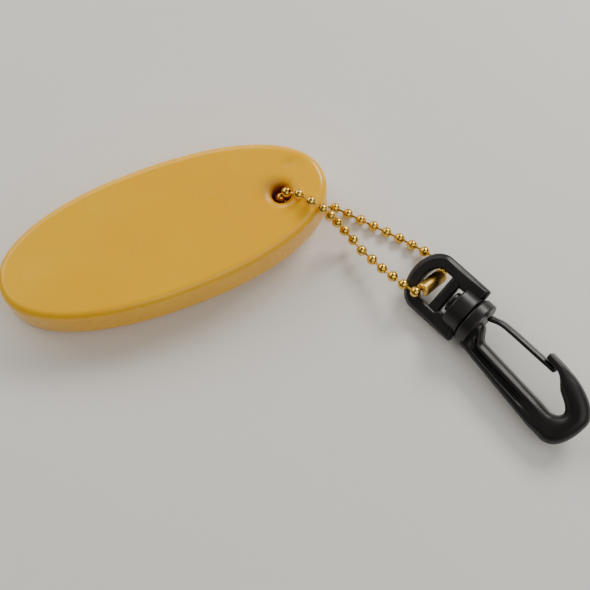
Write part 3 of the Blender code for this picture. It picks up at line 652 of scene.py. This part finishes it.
def section_loop(across_steps, side_steps=3, corner_steps=7):
    """Round a bar's section: (share across, side, corner angle) for its faces, sides and corners in turn.

    A face's share runs from -1 to 1 between the corners. The angle is a corner's own, measured from the
    face's direction, so it is 0 on the faces and a quarter turn on the sides. There the second value runs
    down the side.
    """
    face = np.sin(np.linspace(-np.pi / 2, np.pi / 2, across_steps))[1:-1]
    side = np.linspace(1, -1, side_steps + 2)[1:-1]
    turn = np.linspace(0, np.pi / 2, corner_steps)
    quarter = np.pi / 2
    rows = [(w, 1, 0) for w in face]
    rows += [(1, 1, a) for a in turn] + [(1, z, quarter) for z in side]
    rows += [(1, -1, a) for a in turn[::-1]] + [(w, -1, 0) for w in face[::-1]]
    rows += [(-1, -1, a) for a in turn] + [(-1, z, quarter) for z in side[::-1]]
    rows += [(-1, 1, a) for a in turn[::-1]]
    return np.array(rows).T


def bar_between(inner, outer, thickness, inner_edge, outer_edge, roundness=FULL_ROUND, groove=None,
                across_steps=12):
    """A bar between two edge lines in one plane, its section a rectangle with eased edges.

    Each row of the grid is the section between one point of the inner line and one of the outer. Its corners
    are |x|^n + |y|^n = 1 curves: n is 2 for a round edge and near 1 for a chamfer. The groove is a depth for
    each row and each share of the way across.
    """
    share, side, angle = section_loop(across_steps)
    across = outer - inner
    width = np.linalg.norm(across, axis=1, keepdims=True)
    rows = np.ones_like(width)
    inner_edge = np.minimum(rows * np.reshape(inner_edge, (-1, 1)), width * 0.45)
    outer_edge = np.minimum(rows * np.reshape(outer_edge, (-1, 1)), width * 0.45)
    power = rows * np.reshape(roundness, (-1, 1))
    easing = np.where(share < 0, inner_edge, outer_edge)
    scale = (np.sin(angle) ** power + np.cos(angle) ** power) ** (-1 / power)
    out, up = np.sin(angle) * scale, np.cos(angle) * scale
    reach = inner_edge + (share + 1) / 2 * (width - inner_edge - outer_edge)
    reach = reach + np.sign(share) * out * easing * (np.abs(share) == 1)
    z = side * (thickness / 2 - easing) + np.sign(side) * up * easing
    if groove is not None:
        z = z - np.sign(side) * groove(share) * (angle == 0)
    plane = inner[:, None, :] + (across / width)[:, None, :] * reach[..., None]
    return np.concatenate([plane, z[..., None]], axis=2)


def closed_end(points, rounding, steps=6):
    """Rows that close a bar's last section: it shrinks round a quarter circle and then to its middle."""
    last, before = points[-1], points[-2]
    middle = last.mean(axis=0)
    ahead = unit(middle - before.mean(axis=0))
    offset = last - middle
    up = offset * (0, 0, 1)
    across = offset - up
    angle = np.linspace(0, np.pi / 2, steps)[1:, None, None]
    inset = rounding * (1 - np.cos(angle))
    wide, high = np.linalg.norm(across, axis=1).max(), np.abs(up).max()
    rows = middle + across * (1 - inset / wide) + up * (1 - inset / high) + ahead * rounding * np.sin(angle)
    return np.concatenate([points, rows, np.broadcast_to(rows[-1].mean(axis=0), last.shape)[None]])


def closed_bar(points, start_rounding, end_rounding):
    """A bar with both of its ends closed."""
    return closed_end(closed_end(points, end_rounding)[::-1], start_rounding)[::-1]


def distance_towards(outline, centre, angle):
    """How far an outline lies from a centre at each angle, read from its points in order of their angle."""
    away = outline - centre
    around = np.arctan2(away[:, 1], away[:, 0])
    order = np.argsort(around)
    return np.interp(angle, around[order], np.linalg.norm(away, axis=1)[order], period=2 * np.pi)


def eye_lines():
    """The plate's outline and the edge of its opening and window, matched by angle about their middle.

    The crowns of both are half ellipses, and the rest is straight with curved corners at the foot.
    """
    half, corner, foot = EYE_WIDTH / 2 / MM, EYE_FOOT_CORNER / MM, -SWIVEL_GAP / MM
    crown_foot = (-EYE_LENGTH + EYE_CROWN) / MM
    a = np.linspace(math.pi / 2, 3 * math.pi / 2, 72)
    crown = np.stack([crown_foot + EYE_CROWN / MM * np.cos(a), half * np.sin(a)], axis=1) * MM
    right = straight((crown_foot, -half), (foot - corner, -half), 20)
    corner_right = bezier((foot - corner, -half), (foot, -half), (foot, -half), (foot, corner - half), 10)
    base = straight((foot, corner - half), (foot, half - corner), 24)
    corner_left = bezier((foot, half - corner), (foot, half), (foot, half), (foot - corner, half), 10)
    left = straight((foot - corner, half), (crown_foot, half), 20)
    outer = np.concatenate([crown, right[1:], corner_right, base, corner_left, left])

    half, side = OPENING_WIDTH / 2 / MM, WINDOW_WIDTH / 2 / MM
    start = (OPENING_HIGH + OPENING_CROWN) / MM
    step, end, shoulder = CROSSBAR_END / MM, BARREL_TOP / MM, WINDOW_SHOULDER / MM
    crown = np.stack([start + OPENING_CROWN / MM * np.cos(a), half * np.sin(a)], axis=1) * MM
    edge = [crown]
    for sign in (-1, 1):
        edge.append(straight((start, sign * half), (step - shoulder, sign * half), 30))
        edge.append(straight((step, sign * side), (end, sign * side), 20))
    edge.append(straight((end, -side), (end, side), 40))
    centre = np.array([(OPENING_HIGH + BARREL_TOP) / 2, 0.0])
    away = outer - centre
    angle = np.arctan2(away[:, 1], away[:, 0])
    reach = distance_towards(np.concatenate(edge), centre, angle)
    inner = centre + reach[:, None] * np.stack([np.cos(angle), np.sin(angle)], axis=1)
    return inner, outer


def make_eye(material):
    """A bar carried round the plate, a straight bar across it and a barrel turned about the swivel."""
    inner, outer = eye_lines()
    plate = bar_between(inner, outer, EYE_THICKNESS, EYE_EDGE_RADIUS, EYE_CHAMFER, EYE_ROUNDNESS)
    reach = OPENING_WIDTH / 2 + CROSSBAR_SEAT
    y = np.linspace(-reach, reach, 12)[:, None]
    low = np.concatenate([np.full_like(y, OPENING_LOW), y], axis=1)
    high = np.concatenate([np.full_like(y, CROSSBAR_END), y], axis=1)
    crossbar = bar_between(low, high, CROSSBAR_THICKNESS, CROSSBAR_EDGE_RADIUS, CROSSBAR_EDGE_RADIUS)
    crossbar = closed_bar(crossbar, CROSSBAR_END_RADIUS, CROSSBAR_END_RADIUS)
    outside, bore = BARREL_DIAMETER / 2, BORE_DIAMETER / 2
    foot = -SWIVEL_GAP
    seam = (bore, (foot + BARREL_TOP) / 2)
    corners = [seam, (bore, BARREL_TOP), (outside, BARREL_TOP), (outside, foot), (bore, foot), seam]
    barrel = turned(rounded(corners, EYE_EDGE_RADIUS)[:-1], SWIVEL_MIDDLE, SWIVEL_AXIS, steps=72)
    shapes = [lattice(plate, along=True), lattice(crossbar, around=False, along=True),
              lattice(barrel, along=True)]
    piece("eye_moulding", shapes, material, "eye", ["swivel_eye"], fitting_frame())


def hook_lines():
    """The hook's inner and outer edges from the collar round to the nose's tip, in matching stretches.

    The points are in mm in the fitting's frame. The curves are cubic.
    """
    outer = np.concatenate([
        straight((2.0, -5.7), (3.2, -5.75), 4),
        straight((3.2, -5.75), (5.9, -6.17), 10),
        straight((5.9, -6.17), (27.5, -9.32), 48),
        bezier((27.5, -9.32), (32.0, -9.92), (33.4, -4.6), (33.4, -0.6), 28),
        bezier((33.4, -0.6), (33.4, 2.4), (28.8, 4.8), (24.8, 5.5), 22),
        straight((24.8, 5.5), (21.5, 5.85), 8),
        straight((21.5, 5.85), (18.2, 6.1), 9),
        straight((18.2, 6.1), (18.2, 6.1), 1),
    ])
    inner = np.concatenate([
        straight((2.0, 0.8), (3.2, 0.8), 4),
        bezier((3.2, 0.8), (4.3, 0.5), (4.6, -1.75), (5.9, -2.07), 10),
        straight((5.9, -2.07), (25.7, -3.72), 48),
        bezier((25.7, -3.72), (26.8, -3.72), (28.1, -3.0), (28.1, -1.9), 28),
        bezier((28.1, -1.9), (28.1, -0.5), (25.8, 0.3), (24.5, 1.3), 22),
        bezier((24.5, 1.3), (23.6, 2.1), (22.9, 3.6), (21.5, 4.1), 8),
        straight((21.5, 4.1), (18.2, 4.6), 9),
        straight((18.2, 4.6), (18.2, 4.6), 1),
    ])
    return inner, outer


def eased(value):
    """A smooth step from 0 to 1."""
    value = np.clip(value, 0, 1)
    return value**2 * (3 - 2 * value)


def spine_grooves(x):
    """The depth of two tapering grooves in the spine's faces, with a thin rib between, by share across.

    It is the product of smooth steps along and across the spine and one less a bell curve for the rib.
    """
    fade = eased((x - GROOVE_START) / GROOVE_RUN_IN) * eased((GROOVE_END - x) / GROOVE_TAPER)
    taper = np.clip((x - GROOVE_START) / (GROOVE_END - GROOVE_START), 0, 1)[:, None]

    def depth(share):
        inner_wall = eased((share - GROOVE_INNER_WALL) / GROOVE_INNER_SLOPE)
        outer_wall = eased((GROOVE_OUTER_WALL - GROOVE_NARROWING * taper - share) / GROOVE_OUTER_SLOPE)
        rib = RIB_HEIGHT * np.exp(-((share - RIB_PLACE + RIB_DRIFT * taper) / RIB_WIDTH) ** 2)
        return GROOVE_DEPTH * fade[:, None] * inner_wall * outer_wall * (1 - rib)
    return depth


def make_hook(material):
    """A bar between the hook's edge lines, and the stem with its head and collar turned about the swivel."""
    inner, outer = hook_lines()
    x = (inner[:, 0] + outer[:, 0]) / 2
    spine = np.arange(len(x)) < SPINE_ROWS
    bend = np.where(spine, eased((x - BEND_START) / BEND_RUN_IN), 1.0)
    inner_edge = SPINE_CHAMFER + (BEND_EDGE_RADIUS - SPINE_CHAMFER) * bend
    outer_edge = HOOK_EDGE_RADIUS + (BEND_EDGE_RADIUS - HOOK_EDGE_RADIUS) * bend
    roundness = SPINE_ROUNDNESS + (FULL_ROUND - SPINE_ROUNDNESS) * bend
    grooves = spine_grooves(np.where(spine, x, GROOVE_END))
    body = bar_between(inner, outer, HOOK_THICKNESS, inner_edge, outer_edge, roundness, grooves, 30)
    body = closed_bar(body, HOOK_ROOT_RADIUS, NOSE_TIP_RADIUS)

    collar, stem, head = COLLAR_DIAMETER / 2, STEM_DIAMETER / 2, STEM_HEAD_DIAMETER / 2
    under = BARREL_TOP - HEAD_CLEARANCE
    top = under - STEM_HEAD_LENGTH
    corners = [(0, top), (head, top), (head, under), (stem, under), (stem, 0), (collar, 0),
               (collar, COLLAR_LENGTH), (0, COLLAR_LENGTH)]
    swivel = turned(rounded(corners, SWIVEL_EDGE_RADIUS), SWIVEL_MIDDLE, SWIVEL_AXIS, steps=80)
    shapes = [lattice(body, around=False, along=True), lattice(swivel)]
    piece("hook_moulding", shapes, material, "snap_hook", ["hook"], fitting_frame())


def gate_lines():
    """The leaf's inner and outer edges from its root to its tip, in mm from the pivot, by cubic curves."""
    outer = np.concatenate([
        bezier((0.0, 0.7), (0.9, 0.75), (1.6, 1.25), (3.2, 1.34), 10),
        bezier((3.2, 1.34), (6.0, 1.45), (10.0, 1.35), (14.6, 1.35), 20),
        bezier((14.6, 1.35), (15.8, 1.35), (16.8, 1.1), (17.6, 0.86), 8),
    ])
    inner = np.concatenate([
        bezier((0.0, -0.7), (0.9, -0.4), (1.6, 0.12), (3.2, 0.24), 10),
        bezier((3.2, 0.24), (6.0, 0.35), (10.0, 0.25), (14.6, 0.25), 20),
        straight((14.6, 0.25), (17.6, 0.25), 8),
    ])
    return inner + GATE_PIVOT, outer + GATE_PIVOT


def make_gate(material):
    """A bar between the leaf's edge lines, closed at its root and its tip."""
    inner, outer = gate_lines()
    leaf = bar_between(inner, outer, GATE_WIDTH, GATE_EDGE_RADIUS, GATE_CHAMFER, GATE_ROUNDNESS,
                       across_steps=6)
    leaf = closed_bar(leaf, GATE_ROOT_RADIUS, GATE_TIP_RADIUS)
    shapes = [lattice(leaf, around=False, along=True)]
    piece("gate_moulding", shapes, material, "gate_leaf", ["gate"], fitting_frame())


# Surroundings


def stage_plane(name, size, height, material):
    """A square floor, which belongs to the studio and not to the part."""
    half = size / 2
    mesh = bpy.data.meshes.new(name)
    corners = [(-half, -half, height), (half, -half, height), (half, half, height), (-half, half, height)]
    mesh.from_pydata(corners, [], [(0, 1, 2, 3)])
    mesh.materials.append(material)
    item = bpy.data.objects.new(name, mesh)
    bpy.context.scene.collection.objects.link(item)


def table_top():
    """White laminate: a pale, even sheet with a dull sheen and faint broad clouds."""
    material, tree, shader = new_material("white_laminate", Roughness=0.55)
    place = add(tree, "ShaderNodeTexCoord").outputs["Object"]
    clouds = add(tree, "ShaderNodeTexNoise", {"Scale": 1 / (60 * MM), "Detail": 2.0}, {"Vector": place})
    board = add(tree, "ShaderNodeMix", {MIX_FIRST: linear("#F3F2F0"), MIX_SECOND: linear("#EEEDEA")},
                {MIX_SHARE: clouds.outputs["Fac"]}, data_type="RGBA")
    tree.links.new(board.outputs[MIX_RESULT], shader.inputs["Base Color"])
    return material


def soft_box(name, place, target, width, depth, power):
    """A rectangle of light that faces its target."""
    light = bpy.data.lights.new(name, "AREA")
    light.shape = "RECTANGLE"
    light.size = width
    light.size_y = depth
    light.energy = power
    light.color = LAMP_COLOUR
    item = bpy.data.objects.new(name, light)
    item.location = place
    item.rotation_euler = (Vector(target) - Vector(place)).to_track_quat("-Z", "Y").to_euler()
    bpy.context.scene.collection.objects.link(item)


def light_scene():
    """An even, dim room with the four soft boxes in it."""
    world = bpy.data.worlds.new("studio")
    world.use_nodes = True
    world.node_tree.nodes["Background"].inputs["Color"].default_value = (*LAMP_COLOUR, 1.0)
    world.node_tree.nodes["Background"].inputs["Strength"].default_value = ROOM_LIGHT
    bpy.context.scene.world = world
    for name, (place, target, width, depth, power) in LIGHT_BOXES.items():
        soft_box(name, place, target, width, depth, power)


def place_camera():
    """The camera where the photograph was taken from, facing its target."""
    camera = bpy.data.cameras.new("camera")
    camera.lens = CAMERA_LENS
    camera.sensor_width = SENSOR_WIDTH
    camera.clip_start = 0.01
    item = bpy.data.objects.new("camera", camera)
    item.location = CAMERA_PLACE
    item.rotation_euler = (CAMERA_TARGET - CAMERA_PLACE).to_track_quat("-Z", "Y").to_euler()
    bpy.context.scene.collection.objects.link(item)
    bpy.context.scene.camera = item


place_camera()
make_float_skin(dipped_vinyl())
make_chain(brass_plate())
make_coupling(coupling_brass())
acetal = moulded_acetal()
make_eye(acetal)
make_hook(acetal)
make_gate(acetal)
stage_plane("table", TABLE_SIZE, -TABLE_GAP, table_top())
light_scene()
